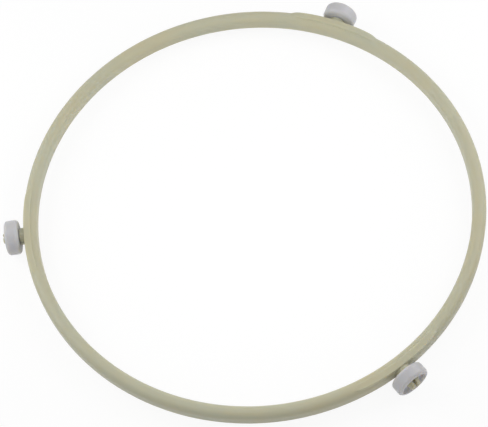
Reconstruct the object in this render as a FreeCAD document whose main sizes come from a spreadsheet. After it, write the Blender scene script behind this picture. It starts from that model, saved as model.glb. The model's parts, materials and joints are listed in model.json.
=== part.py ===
import FreeCAD, Part
import math
import os
import Sketcher

# Microwave roller ring: one moulded ring carries three rollers on split snap pins.
# The part stands on its rollers at z = 0, and the ring's axis is Z.
# Each piece is drawn about the plane of the axles and then lifted by half a roller.

# Sizes are in millimetres, angles in degrees.
SIZES = (
    ("ring_diameter", 200.0, "outside diameter of the ring"),
    ("ring_width", 5.9, "radial width of the ring section"),
    ("ring_height", 7.4, "height of the ring section"),
    ("crest_width", 0.3, "flat along the crest, between the two round upper edges"),
    ("foot_chamfer", 0.9, "chamfer of the two lower edges"),
    ("side_wall", 1.7, "wall each side of the channel underneath"),
    ("roof_wall", 1.9, "wall over the channel underneath"),
    ("pad_length", 37.0, "length of the squared pad at each axle, along its face"),
    ("pad_ramp", 6.0, "length of the slant at each end of a pad"),
    ("pad_width", 3.1, "radial width of a pad, from its face to its back"),
    ("pad_inset", 0.35, "how far a pad's face lies inside the ring's side"),
    ("pad_rise", 0.55, "how far a pad stands over the ring's top and under its foot"),
    ("pad_edge_chamfer", 0.25, "chamfer of a pad's edges"),
    ("boss_margin", 0.1, "how far a boss lies inside the ring's top and foot"),
    ("boss_length", 1.65, "length of the boss that a roller runs against, from the ring's side"),
    ("roller_count", 3, "rollers round the ring"),
    ("first_axle_angle", 60.0, "direction of the first axle from X"),
    ("roller_diameter", 15.0, "diameter of a roller's tread"),
    ("roller_width", 5.85, "width of a roller"),
    ("roller_edge_radius", 1.4, "rounding of a roller's tread edges"),
    ("rim_width", 0.2, "flat rim round the dish in a roller's outer face"),
    ("dish_depth", 2.0, "depth of that dish"),
    ("dish_inset", 0.3, "how much narrower the dish is at its floor, per side"),
    ("bore_diameter", 4.8, "bore of a roller"),
    ("running_clearance", 0.1, "radial gap between a pin and its roller"),
    ("end_play", 0.2, "gap at each end of a roller's hub"),
    ("barb_hook", 0.5, "how far a barb overlaps the roller's hub"),
    ("barb_land", 0.5, "length of a barb's full diameter"),
    ("tip_diameter", 4.2, "diameter at the end of a pin"),
    ("tip_proud", 1.25, "how far a pin stands out of its roller"),
    ("slot_width", 1.4, "slot that parts a pin's two prongs"),
    ("slot_length", 5.2, "length of that slot"),
)

# Places round the ring, as distances from its axis.
OUTER = "sizes.ring_diameter / 2"
INNER = f"({OUTER} - sizes.ring_width)"
MIDDLE = f"({OUTER} - sizes.ring_width / 2)"
CHANNEL_INNER = f"({INNER} + sizes.side_wall)"
CHANNEL_OUTER = f"({OUTER} - sizes.side_wall)"
AXLE_ROOT = f"({INNER} + sizes.side_wall / 2)"
PAD_FACE = f"({OUTER} - sizes.pad_inset)"
PAD_BACK = f"({PAD_FACE} - sizes.pad_width)"
SHOULDER = f"({OUTER} + sizes.boss_length)"
ROLLER_SEAT = f"({SHOULDER} + sizes.end_play)"
ROLLER_FACE = "sizes.roller_width"
HUB_LENGTH = f"({ROLLER_FACE} - sizes.dish_depth)"
BARB = f"({ROLLER_SEAT} + {HUB_LENGTH} + sizes.end_play)"
TIP = f"({ROLLER_SEAT} + {ROLLER_FACE} + sizes.tip_proud)"

# Heights above and below the plane of the axles.
TOP = "sizes.ring_height / 2"
FOOT = f"-{TOP}"
CHANNEL_TOP = f"({TOP} - sizes.roof_wall)"
BELOW_FOOT = f"({FOOT} - sizes.pad_rise - sizes.roof_wall)"
PAD_TOP = f"({TOP} + sizes.pad_rise)"

# Radii about an axle.
BOSS = f"({TOP} - sizes.boss_margin)"
BORE = "sizes.bore_diameter / 2"
JOURNAL = f"({BORE} - sizes.running_clearance)"
BARB_RADIUS = f"({BORE} + sizes.barb_hook)"
TIP_RADIUS = "sizes.tip_diameter / 2"
TREAD = "sizes.roller_diameter / 2"
DISH = f"({TREAD} - sizes.roller_edge_radius - sizes.rim_width)"
DISH_FLOOR = f"({DISH} - sizes.dish_inset)"

# The crown is as round as the ring's width allows.
CROWN_RADIUS = "(sizes.ring_width - sizes.crest_width) / 2"

# A round edge is drawn as a few equal flats, which lie within 0.11 mm of it and keep the model light.
CROWN_FLAT_COUNT = 4
TREAD_FLAT_COUNT = 2
CHAMFER_FLAT_COUNT = 1

# Two places nearer than this are the same place.
CLOSE = 1e-4
FULL_TURN = 360.0
RIGHT_ANGLE = 90.0

# How a sketch counts its own origin, and the points of a line or an arc.
SKETCH_ORIGIN = -1
START = 1
END = 2
CENTRE = 3

doc = FreeCAD.newDocument("roller_ring")
sheet = doc.addObject("Spreadsheet::Sheet", "sizes")
for row, (alias, size, note) in enumerate(SIZES, start=1):
    sheet.set(f"A{row}", note)
    sheet.set(f"B{row}", str(size))
    sheet.setAlias(f"B{row}", alias)
doc.recompute()


def number(expression):
    return float(sheet.evalExpression(expression))


def origin_feature(body, role):
    return next(item for item in body.Origin.OriginFeatures if item.Role == role)


def new_sketch(body, name, plane):
    sketch = body.newObject("Sketcher::SketchObject", name)
    sketch.AttachmentSupport = [(origin_feature(body, plane), "")]
    sketch.MapMode = "FlatFace"
    return sketch


def join(sketch, first, first_point, second, second_point):
    sketch.addConstraint(Sketcher.Constraint("Coincident", first, first_point, second, second_point))


def bind_place(sketch, direction, item, point, expression):
    """Sets a point's distance from the sketch's origin, along one direction, from the sheet."""
    constraint = Sketcher.Constraint(direction, SKETCH_ORIGIN, START, item, point, number(expression))
    index = sketch.addConstraint(constraint)
    sketch.setExpression(f"Constraints[{index}]", expression)


def bind_radius(sketch, arc, expression):
    index = sketch.addConstraint(Sketcher.Constraint("Radius", arc, number(expression)))
    sketch.setExpression(f"Constraints[{index}]", expression)


def polygon(body, name, plane, corners):
    """A closed outline of straight sides, with each corner's two places bound to the sheet."""
    sketch = new_sketch(body, name, plane)
    points = [FreeCAD.Vector(number(across), number(up), 0) for across, up in corners]
    for start, end in zip(points, points[1:] + points[:1]):
        sketch.addGeometry(Part.LineSegment(start, end))
    for side, (across, up) in enumerate(corners):
        join(sketch, side, END, (side + 1) % len(corners), START)
        bind_place(sketch, "DistanceX", side, START, across)
        bind_place(sketch, "DistanceY", side, START, up)
    return sketch


def round_edge(across, up, inward_across, inward_up, radius, flat_count):
    """The corners of an edge that is rounded by flats, from its upright face to its level one."""
    corners = []
    for step in range(flat_count + 1):
        turn = f"{RIGHT_ANGLE * step / flat_count} deg"
        corners.append((
            f"{across} + {inward_across} * {radius} * (1 - cos({turn}))",
            f"{up} + {inward_up} * {radius} * (1 - sin({turn}))",
        ))
    return corners


def turned(body, name, kind, sketch, axis):
    feature = body.newObject(f"PartDesign::{kind}", name)
    feature.Profile = sketch
    feature.ReferenceAxis = (sketch, [axis])
    feature.Angle = FULL_TURN
    doc.recompute()
    return feature


def circle_edges(feature, centre, radius):
    """The names of the edges that lie on one circle."""
    names = []
    for place, edge in enumerate(feature.Shape.Edges, start=1):
        curve = edge.Curve
        if not isinstance(curve, Part.Circle):
            continue
        if curve.Center.distanceToPoint(centre) < CLOSE and abs(curve.Radius - number(radius)) < CLOSE:
            names.append(f"Edge{place}")
    return names


def round_the_ring(body, name, originals):
    pattern = body.newObject("PartDesign::PolarPattern", name)
    pattern.Originals = originals
    pattern.Axis = (origin_feature(body, "Z_Axis"), [""])
    pattern.Angle = FULL_TURN
    pattern.setExpression("Occurrences", "sizes.roller_count")
    body.Tip = pattern
    doc.recompute()
    return pattern


def at_height(expression):
    return FreeCAD.Vector(0, 0, number(expression))


def place(body, distance, share):
    """Turns a body to its share of a turn past the first axle, and sets it out from the ring's axis."""
    angle = f"(sizes.first_axle_angle + {FULL_TURN} * {share}) * 1 deg"
    upright = FreeCAD.Rotation(FreeCAD.Vector(0, 0, 1), number(angle))
    body.Placement = FreeCAD.Placement(FreeCAD.Vector(0, 0, 0), upright)
    body.setExpression("Placement.Rotation.Angle", angle)
    body.setExpression("Placement.Base.x", f"{distance} * cos({angle})")
    body.setExpression("Placement.Base.y", f"{distance} * sin({angle})")
    body.setExpression("Placement.Base.z", TREAD)
    doc.recompute()


def ring_band(body):
    """The ring itself: a band with a round crown and a chamfered foot."""
    outer_crown = round_edge(OUTER, TOP, -1, -1, CROWN_RADIUS, CROWN_FLAT_COUNT)
    inner_crown = round_edge(INNER, TOP, 1, -1, CROWN_RADIUS, CROWN_FLAT_COUNT)
    inner_foot = round_edge(INNER, FOOT, 1, 1, "sizes.foot_chamfer", CHAMFER_FLAT_COUNT)
    outer_foot = round_edge(OUTER, FOOT, -1, 1, "sizes.foot_chamfer", CHAMFER_FLAT_COUNT)
    outline = outer_crown + inner_crown[::-1] + inner_foot + outer_foot[::-1]
    section = polygon(body, "ring_section", "YZ_Plane", outline)
    turned(body, "band", "Revolution", section, "V_Axis")


def pad_plan(body):
    """The plan of the first pad: two arcs about the ring's axis, joined by a slant at each end."""
    sketch = new_sketch(body, "pad_plan", "XY_Plane")
    outer_end = "sizes.pad_length / 2"
    inner_end = f"({outer_end} + sizes.pad_ramp)"
    arcs = []
    for radius, half_length in ((PAD_FACE, outer_end), (PAD_BACK, inner_end)):
        circle = Part.Circle(FreeCAD.Vector(0, 0, 0), FreeCAD.Vector(0, 0, 1), number(radius))
        half_angle = math.asin(number(half_length) / number(radius))
        arc = sketch.addGeometry(Part.ArcOfCircle(circle, -half_angle, half_angle))
        join(sketch, arc, CENTRE, SKETCH_ORIGIN, START)
        bind_radius(sketch, arc, radius)
        bind_place(sketch, "DistanceY", arc, START, f"-{half_length}")
        bind_place(sketch, "DistanceY", arc, END, half_length)
        arcs.append(arc)
    outer, inner = arcs
    for point in (START, END):
        ends = sketch.getPoint(outer, point), sketch.getPoint(inner, point)
        slant = sketch.addGeometry(Part.LineSegment(*ends))
        join(sketch, slant, START, outer, point)
        join(sketch, slant, END, inner, point)
    return sketch


def ring_pads(body):
    """The squared pads that back the axles, a little taller than the ring."""
    plan = pad_plan(body)
    pad = body.newObject("PartDesign::Pad", "pad")
    pad.Profile = plan
    pad.setExpression("Length", f"2 * {PAD_TOP}")
    pad.Midplane = True
    doc.recompute()
    pads = round_the_ring(body, "pads", [pad])
    edges = circle_edges(pads, at_height(PAD_TOP), PAD_FACE)
    edges += circle_edges(pads, at_height(PAD_TOP), PAD_BACK)
    edges += circle_edges(pads, at_height(f"-{PAD_TOP}"), PAD_FACE)
    chamfer = body.newObject("PartDesign::Chamfer", "pad_edges")
    chamfer.Base = (pads, edges)
    chamfer.setExpression("Size", "sizes.pad_edge_chamfer")
    doc.recompute()


def ring_channel(body):
    """The channel that cores the ring from underneath, so that its walls stay even."""
    section = polygon(body, "channel_section", "YZ_Plane", (
        (CHANNEL_INNER, BELOW_FOOT),
        (CHANNEL_OUTER, BELOW_FOOT),
        (CHANNEL_OUTER, CHANNEL_TOP),
        (CHANNEL_INNER, CHANNEL_TOP),
    ))
    turned(body, "channel", "Groove", section, "V_Axis")


def ring_axles(body):
    """The axles: a boss, a journal and a barbed head, with a slot that lets the head close."""
    profile = polygon(body, "axle_profile", "XZ_Plane", (
        (AXLE_ROOT, "0"),
        (AXLE_ROOT, JOURNAL),
        (MIDDLE, JOURNAL),
        (MIDDLE, BOSS),
        (SHOULDER, BOSS),
        (SHOULDER, JOURNAL),
        (BARB, JOURNAL),
        (BARB, BARB_RADIUS),
        (f"{BARB} + sizes.barb_land", BARB_RADIUS),
        (TIP, TIP_RADIUS),
        (TIP, "0"),
    ))
    axle = turned(body, "axle", "Revolution", profile, "H_Axis")
    slot_start = f"({TIP} - sizes.slot_length)"
    slot_end = f"({TIP} + sizes.slot_width)"
    slot_side = "sizes.slot_width / 2"
    plan = polygon(body, "slot_plan", "XY_Plane", (
        (slot_start, f"-{slot_side}"),
        (slot_end, f"-{slot_side}"),
        (slot_end, slot_side),
        (slot_start, slot_side),
    ))
    slot = body.newObject("PartDesign::Pocket", "slot")
    slot.Profile = plan
    slot.Type = "ThroughAll"
    slot.Midplane = True
    doc.recompute()
    round_the_ring(body, "axles", [axle, slot])


def carrier_ring():
    body = doc.addObject("PartDesign::Body", "carrier_ring")
    body.Label = "carrier_ring"
    ring_band(body)
    ring_pads(body)
    ring_channel(body)
    ring_axles(body)
    place(body, "0", "0")
    return body


def roller(index):
    """A roller: a round-edged wheel, dished outside so that the pin's barbs lie inside its width."""
    name = f"roller_{index + 1}"
    body = doc.addObject("PartDesign::Body", name)
    body.Label = name
    hub = [("0", BORE), (HUB_LENGTH, BORE), (HUB_LENGTH, DISH_FLOOR), (ROLLER_FACE, DISH)]
    outer_edge = round_edge(ROLLER_FACE, TREAD, -1, -1, "sizes.roller_edge_radius", TREAD_FLAT_COUNT)
    inner_edge = round_edge("0", TREAD, 1, -1, "sizes.roller_edge_radius", TREAD_FLAT_COUNT)
    profile = polygon(body, f"{name}_profile", "XZ_Plane", hub + outer_edge + inner_edge[::-1])
    turned(body, f"{name}_wheel", "Revolution", profile, "H_Axis")
    place(body, ROLLER_SEAT, f"{index} / sizes.roller_count")
    return body


pieces = [carrier_ring()]
for index in range(int(number("sizes.roller_count"))):
    pieces.append(roller(index))
doc.recompute()

for item in doc.Objects:
    if "Invalid" in item.State or "Error" in item.State:
        raise RuntimeError(f"{item.Name} failed: {item.State}")
for piece in pieces:
    if piece.Shape.isNull() or not piece.Shape.isValid():
        raise RuntimeError(f"{piece.Label} has no valid shape")

os.makedirs("parts", exist_ok=True)
for piece in pieces:
    piece.Shape.exportStep(f"parts/{piece.Label}.step")
    print(piece.Label, len(piece.Shape.Solids), "solid", round(piece.Shape.Volume, 1), "cubic mm")
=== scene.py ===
import json
import math

import bpy
import numpy as np
from mathutils import Matrix, Vector


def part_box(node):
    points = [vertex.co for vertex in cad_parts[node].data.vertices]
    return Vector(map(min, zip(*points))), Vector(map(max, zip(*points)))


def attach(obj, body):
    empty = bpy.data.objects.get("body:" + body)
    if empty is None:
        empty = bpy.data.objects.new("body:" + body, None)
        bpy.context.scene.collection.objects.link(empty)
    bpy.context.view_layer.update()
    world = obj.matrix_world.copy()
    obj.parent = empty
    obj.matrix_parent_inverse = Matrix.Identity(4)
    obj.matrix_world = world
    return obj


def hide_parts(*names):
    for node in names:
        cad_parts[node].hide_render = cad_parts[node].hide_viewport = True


# Microwave roller ring: a moulded ivory ring with three white rollers on split snap pins.
# Everything is in metres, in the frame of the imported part, which stands on its rollers at z = 0.

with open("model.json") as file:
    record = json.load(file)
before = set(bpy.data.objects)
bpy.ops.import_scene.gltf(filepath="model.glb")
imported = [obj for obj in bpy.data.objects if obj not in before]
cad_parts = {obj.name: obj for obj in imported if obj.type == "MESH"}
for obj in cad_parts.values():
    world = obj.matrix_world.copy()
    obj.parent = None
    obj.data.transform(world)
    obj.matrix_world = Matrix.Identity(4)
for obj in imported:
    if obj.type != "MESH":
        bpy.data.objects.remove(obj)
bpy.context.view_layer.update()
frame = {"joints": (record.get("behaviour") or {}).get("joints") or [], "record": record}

# The part's own places, read from the frame.
MILLIMETRE = 0.001
MOUNTS = {mount["name"]: mount for mount in frame["record"]["mounts"]}
AXLE_HEIGHT = frame["joints"][0]["pos_m"][2]
RING_INNER = MOUNTS["hub_opening"]["dims"]["r_mm"] * MILLIMETRE
RING_LOW, RING_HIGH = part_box("carrier_ring")
PAD_HALF_HEIGHT = RING_HIGH.z - AXLE_HEIGHT
PIN_TIP = -RING_LOW.x
SIDE_ROLLER_LOW, SIDE_ROLLER_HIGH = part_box("roller_2")
ROLLER_SEAT = -SIDE_ROLLER_HIGH.x
ROLLER_WIDTH = SIDE_ROLLER_HIGH.x - SIDE_ROLLER_LOW.x
TREAD_RADIUS = (SIDE_ROLLER_HIGH.z - SIDE_ROLLER_LOW.z) / 2

# The ring's section, as the part has it; heights are above the plane of the axles.
PAD_RISE = 0.00055
RING_TOP = PAD_HALF_HEIGHT - PAD_RISE
RING_FOOT = -RING_TOP
RING_WIDTH = 0.0059
RING_OUTER = RING_INNER + RING_WIDTH
RING_MIDDLE = RING_INNER + RING_WIDTH / 2
CREST_WIDTH = 0.0003
CROWN_RADIUS = (RING_WIDTH - CREST_WIDTH) / 2
FOOT_RADIUS = 0.0014
SIDE_WALL = 0.0017
ROOF_WALL = 0.0019
CHANNEL_HALF_WIDTH = RING_WIDTH / 2 - SIDE_WALL
CHANNEL_ROOF = RING_TOP - ROOF_WALL
CHANNEL_MOUTH_RADIUS = 0.0002
CHANNEL_ROOF_RADIUS = 0.0004

# The squared pads behind the axles, a little taller than the ring; their ends sink into it.
# Their face and back are measured across, from the middle of the section.
PAD_INSET = 0.00035
PAD_WIDTH = 0.0031
PAD_FACE = RING_WIDTH / 2 - PAD_INSET
PAD_BACK = PAD_FACE - PAD_WIDTH
PAD_HALF_LENGTH = 0.0195
PAD_RAMP = 0.006
PAD_SLOPE = 0.35
PAD_EDGE_RADIUS = 0.0004
PAD_BLEND = 0.0002
PAD_END_BLEND = 0.002

# The axles; places along them are distances from the ring's axis.
END_PLAY = 0.0002
RUNNING_CLEARANCE = 0.0001
BOSS_MARGIN = 0.0001
BOSS_RADIUS = RING_TOP - BOSS_MARGIN
BOSS_EDGE_RADIUS = 0.0003
BOSS_ROOT_FILLET = 0.0004
BOSS_ROOT_DEPTH = 0.0003
SHOULDER = ROLLER_SEAT - END_PLAY
BORE_RADIUS = 0.0024
JOURNAL_RADIUS = BORE_RADIUS - RUNNING_CLEARANCE
AXLE_ROOT = RING_INNER + SIDE_WALL / 2
SLOT_HALF_WIDTH = 0.0007
SLOT_LENGTH = 0.0052
SLOT_START = PIN_TIP - SLOT_LENGTH
SLOT_EDGE_BLEND = 0.00016
BARB_HOOK = 0.0005
BARB_RADIUS = BORE_RADIUS + BARB_HOOK
BARB_LAND = 0.0005
TIP_RADIUS = 0.0021
TIP_EDGE_RADIUS = 0.0004
SMALL_EDGE_RADIUS = 0.00012
END_CAP_SHARE = 1 / 8

# The rollers.
DISH_DEPTH = 0.002
TREAD_EDGE_RADIUS = 0.0014
RIM_WIDTH = 0.0002
DISH_RADIUS = TREAD_RADIUS - TREAD_EDGE_RADIUS - RIM_WIDTH
DISH_INSET = 0.0003
DISH_FLOOR_RADIUS = DISH_RADIUS - DISH_INSET
DISH_CORNER_RADIUS = 0.0006
DISH_MOUTH_RADIUS = 0.00015
BORE_EDGE_RADIUS = 0.00025
HUB_LENGTH = ROLLER_WIDTH - DISH_DEPTH
BARB_BACK = ROLLER_SEAT + HUB_LENGTH + END_PLAY

# How finely the forms are divided: steps on arcs, round the pins and rollers and round the ring,
# and points on the ring's straight walls, between two heights, and about its pads' corners.
ARC_STEPS = 8
CROWN_STEPS = 22
ROUND_STEPS = 128
PRONG_STEPS = 72
RING_STEPS = 300
RAMP_STEP = 0.0008
PAD_CORNER_SPREAD = 0.12
PAD_CORNER_STEPS = 17
WALL_LOW = -0.002
WALL_HIGH = 0.0005
WALL_STEPS = 6
TURN_DIGITS = 4
TURN_MARGIN = 0.0001
HALVINGS = 40
SMOOTH_ANGLE = math.radians(35)

# The camera, fitted to the photograph's outline of the ring and its rollers.
IMAGE_WIDTH = 488
FOCAL_PIXELS = 1528
SENSOR_WIDTH = 36.0
CAMERA_DISTANCE = 0.65818
CAMERA_ELEVATION = math.radians(61.41)
CAMERA_ROLL = math.radians(8.21)
CAMERA_SIDE = -0.00446
CAMERA_RISE = -0.00569

# The plastics: how large their tones, streaks, scuffs and grain are, and how far light goes into them.
IVORY_TONES = ((0.551, 0.557, 0.43), (0.595, 0.56, 0.39))
WHITE_TONES = ((0.608, 0.609, 0.643), (0.632, 0.631, 0.654))
IVORY_ROUGHNESS = (0.4, 0.52)
WHITE_ROUGHNESS = (0.38, 0.48)
TONE_REACH = (0.34, 0.66)
CLOUD_SIZE = 0.035
CLOUD_DETAIL = 3
STREAK_LENGTH = 0.03
STREAK_WIDTH = 0.0016
STREAK_DETAIL = 2
STREAK_SHARE = 0.35
WORN = "worn"
WORN_TONE = 0.93
WORN_POLISH = 0.12
SCUFF_SIZE = 0.0012
SCUFF_DETAIL = 4
MOTTLE_SIZE = 0.004
MOTTLE_DETAIL = 4
GRAIN_SIZE = 0.0004
GRAIN_DETAIL = 2
GRAIN_STRENGTH = 0.25
GRAIN_DEPTH = 0.00002
SCATTER = 0.75
SCATTER_RADIUS = (1.0, 0.85, 0.6)
SCATTER_SCALE = 0.003

# The light: a sky that is brighter towards the viewer, a soft lamp on each side
# and a faint one over the middle. The floor is white, and glows so that it is seen as white.
SKY_FRONT = 0.56
SKY_BACK = 0.19
SIDE_LAMP_OUT = 0.28
SIDE_LAMP_BACK = 0.1
SIDE_LAMP_HEIGHT = 0.22
SIDE_LAMP_SIZE = 0.28
SIDE_LAMP_POWER = 0.45
MIDDLE_LAMP_FRONT = 0.03
MIDDLE_LAMP_HEIGHT = 0.1
MIDDLE_LAMP_SIZE = 0.1
MIDDLE_LAMP_POWER = 0.026
FLOOR_HALF_WIDTH = 3.0
FLOOR_BOUNCE = 0.92
FLOOR_GLOW = 0.9
FLOOR_SHADOW = 0.12


def rounded_outline(corners, steps=ARC_STEPS):
    """A closed outline through corners (across, up, radius), with an arc where the radius isn't zero."""
    points = []
    for index, (across, up, radius) in enumerate(corners):
        corner = np.array((across, up))
        if radius == 0:
            points.append(corner)
            continue
        back = np.array(corners[index - 1][:2]) - corner
        ahead = np.array(corners[(index + 1) % len(corners)][:2]) - corner
        back /= np.linalg.norm(back)
        ahead /= np.linalg.norm(ahead)
        half = math.acos(back @ ahead) / 2
        middle = (back + ahead) / np.linalg.norm(back + ahead)
        centre = corner + middle * radius / math.sin(half)
        start = corner + back * radius / math.tan(half) - centre
        end = corner + ahead * radius / math.tan(half) - centre
        turn = math.pi - 2 * half
        for step in range(steps + 1):
            share = step / steps
            spoke = math.sin((1 - share) * turn) * start + math.sin(share * turn) * end
            points.append(centre + spoke / math.sin(turn))
    return np.array(points)


def mesh_object(name, loops, closed):
    """A skin over loops of points, one loop to the next; an open row of loops is capped at both ends."""
    loops = np.asarray(loops)
    rows, columns = loops.shape[:2]
    faces = []
    for row in range(rows if closed else rows - 1):
        after = (row + 1) % rows
        for column in range(columns):
            right = (column + 1) % columns
            faces.append((
                row * columns + column,
                row * columns + right,
                after * columns + right,
                after * columns + column,
            ))
    if not closed:
        faces.append(tuple(reversed(range(columns))))
        faces.append(tuple(range((rows - 1) * columns, rows * columns)))
    mesh = bpy.data.meshes.new(name)
    mesh.from_pydata(loops.reshape(-1, 3).tolist(), [], faces)
    mesh.update()
    piece = bpy.data.objects.new(name, mesh)
    bpy.context.scene.collection.objects.link(piece)
    return piece


def face_outwards(piece):
    """Turns the faces of a closed mesh so that they all look outwards."""
    mesh = piece.data
    mesh.calc_loop_triangles()
    points = np.array([vertex.co for vertex in mesh.vertices])
    corners = points[np.array([triangle.vertices for triangle in mesh.loop_triangles])]
    volume = np.einsum("ij,ij->i", corners[:, 0], np.cross(corners[:, 1], corners[:, 2])).sum()
    if volume < 0:
        mesh.flip_normals()


def shade(piece):
    """Smooth shading, with the creases kept and the flats kept flat."""
    mesh = piece.data
    mesh.polygons.foreach_set("use_smooth", [True] * len(mesh.polygons))
    mesh.set_sharp_from_angle(angle=SMOOTH_ANGLE)
    weighted = piece.modifiers.new("flat_faces", "WEIGHTED_NORMAL")
    weighted.keep_sharp = True


def rounded_box_distance(across, up, half_across, half_up, radius):
    """How far points lie outside a box with rounded corners."""
    beside = np.abs(across) - half_across + radius
    above = np.abs(up) - half_up + radius
    outside = np.hypot(np.maximum(beside, 0), np.maximum(above, 0))
    return outside + np.minimum(np.maximum(beside, above), 0) - radius


def blended_least(first, second, blend):
    """The smaller of two distances, blended over where they are close, as a moulded inside corner is."""
    share = np.clip(0.5 + 0.5 * (second - first) / blend, 0, 1)
    return second + (first - second) * share - blend * share * (1 - share)


def reach_along(distance, directions, longest):
    """How far each direction goes from the middle of a form before it leaves it, by halving."""
    near = np.zeros(directions.shape[:-1])
    far = np.full(directions.shape[:-1], longest)
    for _ in range(HALVINGS):
        middle = (near + far) / 2
        inside = distance(directions[..., 0] * middle, directions[..., 1] * middle) < 0
        near = np.where(inside, middle, near)
        far = np.where(inside, far, middle)
    return (near + far) / 2


def axle_angle(joint):
    """The direction of an axle, from its joint."""
    return math.atan2(joint["axis"][1], joint["axis"][0])


def ring_angles(axles):
    """Where the ring's section is placed: evenly, and closely over the ends of the pads."""
    ramp_start = (PAD_HALF_LENGTH - 2 * PAD_END_BLEND) / RING_OUTER
    ramp_end = (PAD_HALF_LENGTH + PAD_RAMP) / RING_OUTER
    even = np.arange(RING_STEPS) * math.tau / RING_STEPS
    ramp = np.arange(ramp_start, ramp_end, RAMP_STEP / RING_OUTER)
    angles = []
    for axle in axles:
        offset = np.abs((even - axle + math.pi) % math.tau - math.pi)
        even = even[(offset < ramp_start) | (offset > ramp_end)]
        angles += [axle + ramp, axle - ramp]
    return np.sort(np.concatenate(angles + [even]) % math.tau)


def pad_sink(angles, axles):
    """How far a pad has sunk into the ring at each angle: not along its length, then out of sight."""
    offset = np.min([np.abs((angles - axle + math.pi) % math.tau - math.pi) for axle in axles], axis=0)
    past = RING_OUTER * np.sin(offset) - PAD_HALF_LENGTH
    slant = (past + np.hypot(past, PAD_END_BLEND)) / 2
    return np.minimum(slant, PAD_RAMP) * PAD_SLOPE


def skin_directions():
    """Directions from the section's middle to its outside, from the channel's inner mouth to its outer."""
    half = RING_WIDTH / 2
    foot_edge = CHANNEL_HALF_WIDTH + CHANNEL_MOUTH_RADIUS
    arcs = rounded_outline((
        (-half, RING_FOOT, FOOT_RADIUS),
        (-half, RING_TOP, CROWN_RADIUS),
        (half, RING_TOP, CROWN_RADIUS),
        (half, RING_FOOT, FOOT_RADIUS),
    ), CROWN_STEPS)
    heights = np.linspace(WALL_LOW, WALL_HIGH, WALL_STEPS)
    walls = [(side * half, height) for side in (-1, 1) for height in heights]
    mouth = [(-foot_edge, RING_FOOT), (foot_edge, RING_FOOT)]
    points = np.concatenate([arcs, walls, mouth])
    turns = np.arctan2(-points[:, 0], -points[:, 1]) % math.tau
    face_corner = math.atan2(PAD_FACE, PAD_HALF_HEIGHT)
    back_corner = math.atan2(PAD_BACK, PAD_HALF_HEIGHT)
    corners = (math.pi + face_corner, math.pi + back_corner, math.tau - face_corner)
    spread = np.linspace(-PAD_CORNER_SPREAD, PAD_CORNER_SPREAD, PAD_CORNER_STEPS)
    turns = np.concatenate([turns, *(corner + spread for corner in corners)])
    turns = np.unique(turns.round(TURN_DIGITS))
    mouth_turn = math.atan2(foot_edge, -RING_FOOT) - TURN_MARGIN
    turns = turns[(turns >= mouth_turn) & (turns <= math.tau - mouth_turn)]
    return np.stack([-np.sin(turns), -np.cos(turns)], axis=-1)


def channel_outline():
    """The channel's half of the section, from its outer mouth over its roof to its inner mouth."""
    outline = rounded_outline((
        (RING_WIDTH, RING_FOOT, 0),
        (CHANNEL_HALF_WIDTH, RING_FOOT, CHANNEL_MOUTH_RADIUS),
        (CHANNEL_HALF_WIDTH, CHANNEL_ROOF, CHANNEL_ROOF_RADIUS),
        (-CHANNEL_HALF_WIDTH, CHANNEL_ROOF, CHANNEL_ROOF_RADIUS),
        (-CHANNEL_HALF_WIDTH, RING_FOOT, CHANNEL_MOUTH_RADIUS),
        (-RING_WIDTH, RING_FOOT, 0),
    ))
    # The end corners only give the mouth's arcs their direction, and the skin has the arcs' outer ends.
    return outline[2:-2]


def repeated(rows, count):
    """The same rows of points, once for each place round the ring."""
    return np.broadcast_to(rows, (count, *rows.shape))


def ring_band(axles):
    """The ring with its round crown, its squared pads and the channel underneath."""
    angles = ring_angles(axles)
    sink = pad_sink(angles, axles)[:, None]
    pad_middle = (PAD_FACE + PAD_BACK - sink) / 2
    pad_half_width = (PAD_FACE - PAD_BACK - sink) / 2

    def outside(across, up):
        corner = np.where(up > 0, CROWN_RADIUS, FOOT_RADIUS)
        band = rounded_box_distance(across, up, RING_WIDTH / 2, RING_TOP, corner)
        pad = rounded_box_distance(
            across - pad_middle, up, pad_half_width, PAD_HALF_HEIGHT - sink, PAD_EDGE_RADIUS)
        return blended_least(band, pad, PAD_BLEND)

    directions = repeated(skin_directions(), len(angles))
    skin = directions * reach_along(outside, directions, 2 * RING_WIDTH)[..., None]
    section = np.concatenate([skin, repeated(channel_outline(), len(angles))], axis=1)
    distance = RING_MIDDLE + section[..., 0]
    loops = np.stack([
        distance * np.cos(angles)[:, None],
        distance * np.sin(angles)[:, None],
        AXLE_HEIGHT + section[..., 1],
    ], axis=-1)
    return mesh_object("ring_band", loops, closed=True)


def turned(name, outline, closed):
    """A form turned about the X axis from an outline of (along, radius)."""
    spin = np.arange(ROUND_STEPS) * math.tau / ROUND_STEPS
    loops = [
        np.stack([np.full(ROUND_STEPS, along), radius * np.cos(spin), radius * np.sin(spin)], axis=-1)
        for along, radius in outline
    ]
    return mesh_object(name, loops, closed)


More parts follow.
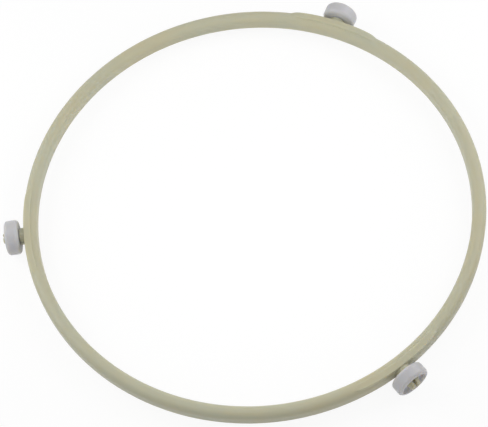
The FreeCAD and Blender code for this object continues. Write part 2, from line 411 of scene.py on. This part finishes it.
def axle_core():
    """The boss that a roller runs against and the journal inside it, up to the slot, with small end caps."""
    cap = JOURNAL_RADIUS * END_CAP_SHARE
    face = RING_MIDDLE + PAD_FACE
    root = BOSS_RADIUS + BOSS_ROOT_FILLET + SMALL_EDGE_RADIUS
    outline = rounded_outline((
        (AXLE_ROOT, cap, 0),
        (AXLE_ROOT, JOURNAL_RADIUS, 0),
        (RING_MIDDLE, JOURNAL_RADIUS, 0),
        (RING_MIDDLE, BOSS_RADIUS, 0),
        (face - BOSS_ROOT_DEPTH, BOSS_RADIUS, 0),
        (face - BOSS_ROOT_DEPTH, root, 0),
        (face, root, 0),
        (face, BOSS_RADIUS, BOSS_ROOT_FILLET),
        (SHOULDER, BOSS_RADIUS, BOSS_EDGE_RADIUS),
        (SHOULDER, JOURNAL_RADIUS, SMALL_EDGE_RADIUS),
        (SLOT_START, JOURNAL_RADIUS, 0),
        (SLOT_START, cap, 0),
    ))
    return turned("axle_core", outline, closed=False)


def prong_reach(radius, middle, directions):
    """How far one half of a split pin goes from its own middle, where the pin has that radius."""

    def outside(away, up):
        round_side = np.hypot(away + middle, up) - radius
        slot_side = SLOT_HALF_WIDTH - (away + middle)
        return -blended_least(-round_side, -slot_side, SLOT_EDGE_BLEND)

    return reach_along(outside, directions, 2 * radius)


def prong(side):
    """One half of the split pin, with its barb and its rounded tip."""
    start = SLOT_START - SLOT_HALF_WIDTH
    flat_tip = SLOT_HALF_WIDTH + 2 * SLOT_EDGE_BLEND
    outline = rounded_outline((
        (start, flat_tip, 0),
        (start, JOURNAL_RADIUS, 0),
        (BARB_BACK, JOURNAL_RADIUS, SMALL_EDGE_RADIUS),
        (BARB_BACK, BARB_RADIUS, SMALL_EDGE_RADIUS),
        (BARB_BACK + BARB_LAND, BARB_RADIUS, SMALL_EDGE_RADIUS),
        (PIN_TIP, TIP_RADIUS, TIP_EDGE_RADIUS),
        (PIN_TIP, flat_tip, 0),
    ))
    turns = np.arange(PRONG_STEPS) * math.tau / PRONG_STEPS
    directions = np.stack([np.cos(turns), np.sin(turns)], axis=-1)
    loops = []
    # The flat ends are closed by the mesh's caps, so the outline's first and last points aren't used.
    for along, radius in outline[1:-1]:
        middle = (SLOT_HALF_WIDTH + radius) / 2
        reach = prong_reach(radius, middle, directions)
        loops.append(np.stack([
            np.full(PRONG_STEPS, along),
            side * (middle + directions[:, 0] * reach),
            directions[:, 1] * reach,
        ], axis=-1))
    return mesh_object("prong", loops, closed=False)


def join_solids(base, solids):
    """Adds solids to a base, as one closed mesh, and removes them."""
    for solid in [base, *solids]:
        face_outwards(solid)
    for solid in solids:
        union = base.modifiers.new("union", "BOOLEAN")
        union.operation = "UNION"
        union.solver = "MANIFOLD"
        union.object = solid
    bpy.context.view_layer.update()
    evaluated = base.evaluated_get(bpy.context.evaluated_depsgraph_get())
    joined = bpy.data.meshes.new_from_object(evaluated)
    base.modifiers.clear()
    joined.materials.clear()
    base.data = joined
    for solid in solids:
        bpy.data.objects.remove(solid)


def carrier_ring(material):
    """The ring, its pads, bosses and split pins: one moulding."""
    axles = [axle_angle(joint) for joint in frame["joints"]]
    solids = []
    for angle in axles:
        stand = Matrix.Translation((0, 0, AXLE_HEIGHT)) @ Matrix.Rotation(angle, 4, "Z")
        for solid in (axle_core(), prong(-1), prong(1)):
            solid.data.transform(stand)
            solids.append(solid)
    piece = ring_band(axles)
    join_solids(piece, solids)
    piece.name = "carrier_ring_moulding"
    piece.data.materials.append(material)
    shade(piece)
    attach(piece, "ring")
    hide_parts("carrier_ring")


def roller(joint, node, material):
    """A roller: a round-edged wheel with a plain bore, dished on its outer face."""
    outline = rounded_outline((
        (0, BORE_RADIUS, BORE_EDGE_RADIUS),
        (HUB_LENGTH, BORE_RADIUS, BORE_EDGE_RADIUS),
        (HUB_LENGTH, DISH_FLOOR_RADIUS, DISH_CORNER_RADIUS),
        (ROLLER_WIDTH, DISH_RADIUS, DISH_MOUTH_RADIUS),
        (ROLLER_WIDTH, TREAD_RADIUS, TREAD_EDGE_RADIUS),
        (0, TREAD_RADIUS, TREAD_EDGE_RADIUS),
    ))
    piece = turned(f"{node}_moulding", outline, closed=True)
    worn = piece.data.attributes.new(WORN, "FLOAT", "POINT")
    band = np.clip((outline[:, 1] - TREAD_RADIUS + TREAD_EDGE_RADIUS) / TREAD_EDGE_RADIUS, 0, 1)
    worn.data.foreach_set("value", np.repeat(band, ROUND_STEPS))
    turn = Matrix.Rotation(axle_angle(joint), 4, "Z")
    piece.data.transform(turn @ Matrix.Translation((ROLLER_SEAT, 0, AXLE_HEIGHT)))
    face_outwards(piece)
    piece.data.materials.append(material)
    shade(piece)
    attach(piece, joint["child"])
    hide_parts(node)


def node_of(tree, kind, **inputs):
    """A shader node with some of its inputs set."""
    node = tree.nodes.new(kind)
    for name, value in inputs.items():
        node.inputs[name].default_value = value
    return node


def math_node(tree, kind, operation, *values):
    """A math node on values, each of them a constant or another node's output."""
    node = tree.nodes.new(kind)
    node.operation = operation
    for socket, value in zip(node.inputs, values):
        if isinstance(value, bpy.types.NodeSocket):
            tree.links.new(value, socket)
        else:
            socket.default_value = value
    return node


def mixed_shader(tree, share, first, second):
    """The first shader where the share is zero and the second where it is one."""
    node = tree.nodes.new("ShaderNodeMixShader")
    tree.links.new(share, node.inputs["Fac"])
    tree.links.new(first, node.inputs[1])
    tree.links.new(second, node.inputs[2])
    return node.outputs["Shader"]


def noise(tree, size, detail):
    """Noise of that size in metres, in the piece's own space."""
    space = tree.nodes.new("ShaderNodeTexCoord")
    texture = node_of(tree, "ShaderNodeTexNoise", Scale=1 / size, Detail=detail)
    tree.links.new(space.outputs["Object"], texture.inputs["Vector"])
    return texture.outputs["Fac"]


def streaks(tree):
    """Noise drawn out along the ring, as the plastic flowed in its mould."""
    place = tree.nodes.new("ShaderNodeTexCoord").outputs["Object"]
    along = 1 / STREAK_LENGTH
    across = 1 / STREAK_WIDTH
    drawn = math_node(tree, "ShaderNodeVectorMath", "MULTIPLY", place, (along, along, across))
    level = math_node(tree, "ShaderNodeVectorMath", "MULTIPLY", place, (across, across, 0))
    distance = math_node(tree, "ShaderNodeVectorMath", "LENGTH", level.outputs["Vector"])
    texture = node_of(tree, "ShaderNodeTexNoise", Scale=1, Detail=STREAK_DETAIL)
    texture.noise_dimensions = "4D"
    tree.links.new(drawn.outputs["Vector"], texture.inputs["Vector"])
    tree.links.new(distance.outputs["Value"], texture.inputs["W"])
    return texture.outputs["Fac"]


def tone(tree, tones, flow):
    """The plastic's own colour: two close tones in clouds and, where it flowed round, in streaks."""
    tint = tree.nodes.new("ShaderNodeValToRGB")
    for stop, colour, reach in zip(tint.color_ramp.elements, tones, TONE_REACH):
        stop.color = (*colour, 1)
        stop.position = reach
    drift = noise(tree, CLOUD_SIZE, CLOUD_DETAIL)
    if flow:
        mixed = node_of(tree, "ShaderNodeMix", Factor=STREAK_SHARE)
        tree.links.new(drift, mixed.inputs["A"])
        tree.links.new(streaks(tree), mixed.inputs["B"])
        drift = mixed.outputs["Result"]
    tree.links.new(drift, tint.inputs["Fac"])
    return tint.outputs["Color"]


def rubbing(tree):
    """How rubbed the surface is: in scuffs, over the band where something runs on it."""
    worn = tree.nodes.new("ShaderNodeAttribute")
    worn.attribute_name = WORN
    scuffs = noise(tree, SCUFF_SIZE, SCUFF_DETAIL)
    return math_node(tree, "ShaderNodeMath", "MULTIPLY", worn.outputs["Fac"], scuffs).outputs["Value"]


def moulded_plastic(name, tones, roughness, flow):
    """A satin moulded plastic with a fine grain, duller and smoother where it is rubbed."""
    material = bpy.data.materials.new(name)
    material.use_nodes = True
    tree = material.node_tree
    shader = tree.nodes["Principled BSDF"]
    rubbed = rubbing(tree)

    dulled = node_of(tree, "ShaderNodeMapRange", **{"To Min": 1, "To Max": WORN_TONE})
    tree.links.new(rubbed, dulled.inputs["Value"])
    toned = math_node(tree, "ShaderNodeVectorMath", "SCALE", tone(tree, tones, flow))
    tree.links.new(dulled.outputs["Result"], toned.inputs["Scale"])
    tree.links.new(toned.outputs["Vector"], shader.inputs["Base Color"])

    smooth, rough = roughness
    gloss = node_of(tree, "ShaderNodeMapRange", **{"To Min": smooth, "To Max": rough})
    tree.links.new(noise(tree, MOTTLE_SIZE, MOTTLE_DETAIL), gloss.inputs["Value"])
    polished = math_node(
        tree, "ShaderNodeMath", "MULTIPLY_ADD", rubbed, -WORN_POLISH, gloss.outputs["Result"])
    tree.links.new(polished.outputs["Value"], shader.inputs["Roughness"])

    grain = node_of(tree, "ShaderNodeBump", Strength=GRAIN_STRENGTH, Distance=GRAIN_DEPTH)
    tree.links.new(noise(tree, GRAIN_SIZE, GRAIN_DETAIL), grain.inputs["Height"])
    tree.links.new(grain.outputs["Normal"], shader.inputs["Normal"])

    shader.inputs["Subsurface Weight"].default_value = SCATTER
    shader.inputs["Subsurface Radius"].default_value = SCATTER_RADIUS
    shader.inputs["Subsurface Scale"].default_value = SCATTER_SCALE
    return material


def seen_white(tree):
    """One where the camera, a reflection or a clear material looks, so that the ground is white there."""
    path = tree.nodes.new("ShaderNodeLightPath").outputs
    seen = math_node(tree, "ShaderNodeMath", "MAXIMUM", path["Is Camera Ray"], path["Is Glossy Ray"])
    either = math_node(
        tree, "ShaderNodeMath", "MAXIMUM", seen.outputs["Value"], path["Is Transmission Ray"])
    return either.outputs["Value"]


def floor():
    """A plain white floor, which keeps a faint shadow and can be seen through from underneath."""
    half = FLOOR_HALF_WIDTH
    corners = [(-half, -half, 0), (half, -half, 0), (half, half, 0), (-half, half, 0)]
    mesh = bpy.data.meshes.new("floor")
    mesh.from_pydata(corners, [], [(0, 1, 2, 3)])
    plane = bpy.data.objects.new("floor", mesh)
    bpy.context.scene.collection.objects.link(plane)
    material = bpy.data.materials.new("floor_white")
    material.use_nodes = True
    tree = material.node_tree
    tree.nodes.remove(tree.nodes["Principled BSDF"])
    bounce = node_of(tree, "ShaderNodeBsdfDiffuse", Color=(FLOOR_BOUNCE, FLOOR_BOUNCE, FLOOR_BOUNCE, 1))
    paper = node_of(tree, "ShaderNodeBsdfDiffuse", Color=(FLOOR_SHADOW, FLOOR_SHADOW, FLOOR_SHADOW, 1))
    glow = node_of(tree, "ShaderNodeEmission", Color=(1, 1, 1, 1), Strength=FLOOR_GLOW)
    white = tree.nodes.new("ShaderNodeAddShader")
    tree.links.new(paper.outputs[0], white.inputs[0])
    tree.links.new(glow.outputs[0], white.inputs[1])
    above = mixed_shader(tree, seen_white(tree), bounce.outputs[0], white.outputs[0])
    side = tree.nodes.new("ShaderNodeNewGeometry")
    clear = tree.nodes.new("ShaderNodeBsdfTransparent")
    surface = mixed_shader(tree, side.outputs["Backfacing"], above, clear.outputs[0])
    tree.links.new(surface, tree.nodes["Material Output"].inputs["Surface"])
    mesh.materials.append(material)


def sky():
    """Soft light from all round, more of it from the front, and a white background where it is seen."""
    world = bpy.data.worlds.new("studio")
    bpy.context.scene.world = world
    world.use_nodes = True
    tree = world.node_tree
    light = tree.nodes["Background"]
    light.inputs["Color"].default_value = (1, 1, 1, 1)
    space = tree.nodes.new("ShaderNodeTexCoord")
    axes = tree.nodes.new("ShaderNodeSeparateXYZ")
    levels = {"From Min": -1, "To Min": SKY_FRONT, "To Max": SKY_BACK}
    strength = node_of(tree, "ShaderNodeMapRange", **levels)
    tree.links.new(space.outputs["Generated"], axes.inputs["Vector"])
    tree.links.new(axes.outputs["Y"], strength.inputs["Value"])
    tree.links.new(strength.outputs["Result"], light.inputs["Strength"])
    white = node_of(tree, "ShaderNodeBackground", Color=(1, 1, 1, 1), Strength=1.0)
    surface = mixed_shader(tree, seen_white(tree), light.outputs[0], white.outputs[0])
    tree.links.new(surface, tree.nodes["World Output"].inputs["Surface"])


def lamp(name, place, size, power):
    """A soft square lamp that looks at the ring's middle and isn't seen itself."""
    data = bpy.data.lights.new(name, "AREA")
    data.size = size
    data.energy = power
    light = bpy.data.objects.new(name, data)
    light.location = place
    light.rotation_euler = (-Vector(place)).to_track_quat("-Z", "Y").to_euler()
    light.visible_camera = False
    bpy.context.scene.collection.objects.link(light)


def camera():
    """The photograph's camera: from the front and above, tipped to one side."""
    data = bpy.data.cameras.new("camera")
    data.sensor_width = SENSOR_WIDTH
    data.lens = FOCAL_PIXELS / IMAGE_WIDTH * SENSOR_WIDTH
    back = Vector((0, -math.cos(CAMERA_ELEVATION), math.sin(CAMERA_ELEVATION)))
    right = Vector((1, 0, 0))
    up = back.cross(right)
    crest = Vector((0, 0, AXLE_HEIGHT + RING_TOP))
    place = crest + back * CAMERA_DISTANCE + right * CAMERA_SIDE + up * CAMERA_RISE
    tipped_right = right * math.cos(CAMERA_ROLL) - up * math.sin(CAMERA_ROLL)
    tipped_up = right * math.sin(CAMERA_ROLL) + up * math.cos(CAMERA_ROLL)
    turn = Matrix((tipped_right, tipped_up, back)).transposed().to_4x4()
    viewer = bpy.data.objects.new("camera", data)
    viewer.matrix_world = Matrix.Translation(place) @ turn
    bpy.context.scene.collection.objects.link(viewer)
    bpy.context.scene.camera = viewer


ivory = moulded_plastic("ivory_plastic", IVORY_TONES, IVORY_ROUGHNESS, flow=True)
white = moulded_plastic("white_plastic", WHITE_TONES, WHITE_ROUGHNESS, flow=False)
carrier_ring(ivory)
bodies = frame["record"]["behaviour"]["bodies"]
for joint in frame["joints"]:
    roller(joint, bodies[joint["child"]][0], white)
floor()
sky()
for name, out in (("left_lamp", -SIDE_LAMP_OUT), ("right_lamp", SIDE_LAMP_OUT)):
    lamp(name, (out, SIDE_LAMP_BACK, SIDE_LAMP_HEIGHT), SIDE_LAMP_SIZE, SIDE_LAMP_POWER)
lamp("middle_lamp", (0, -MIDDLE_LAMP_FRONT, MIDDLE_LAMP_HEIGHT), MIDDLE_LAMP_SIZE, MIDDLE_LAMP_POWER)
camera()
bpy.context.scene.view_settings.view_transform = "Standard"
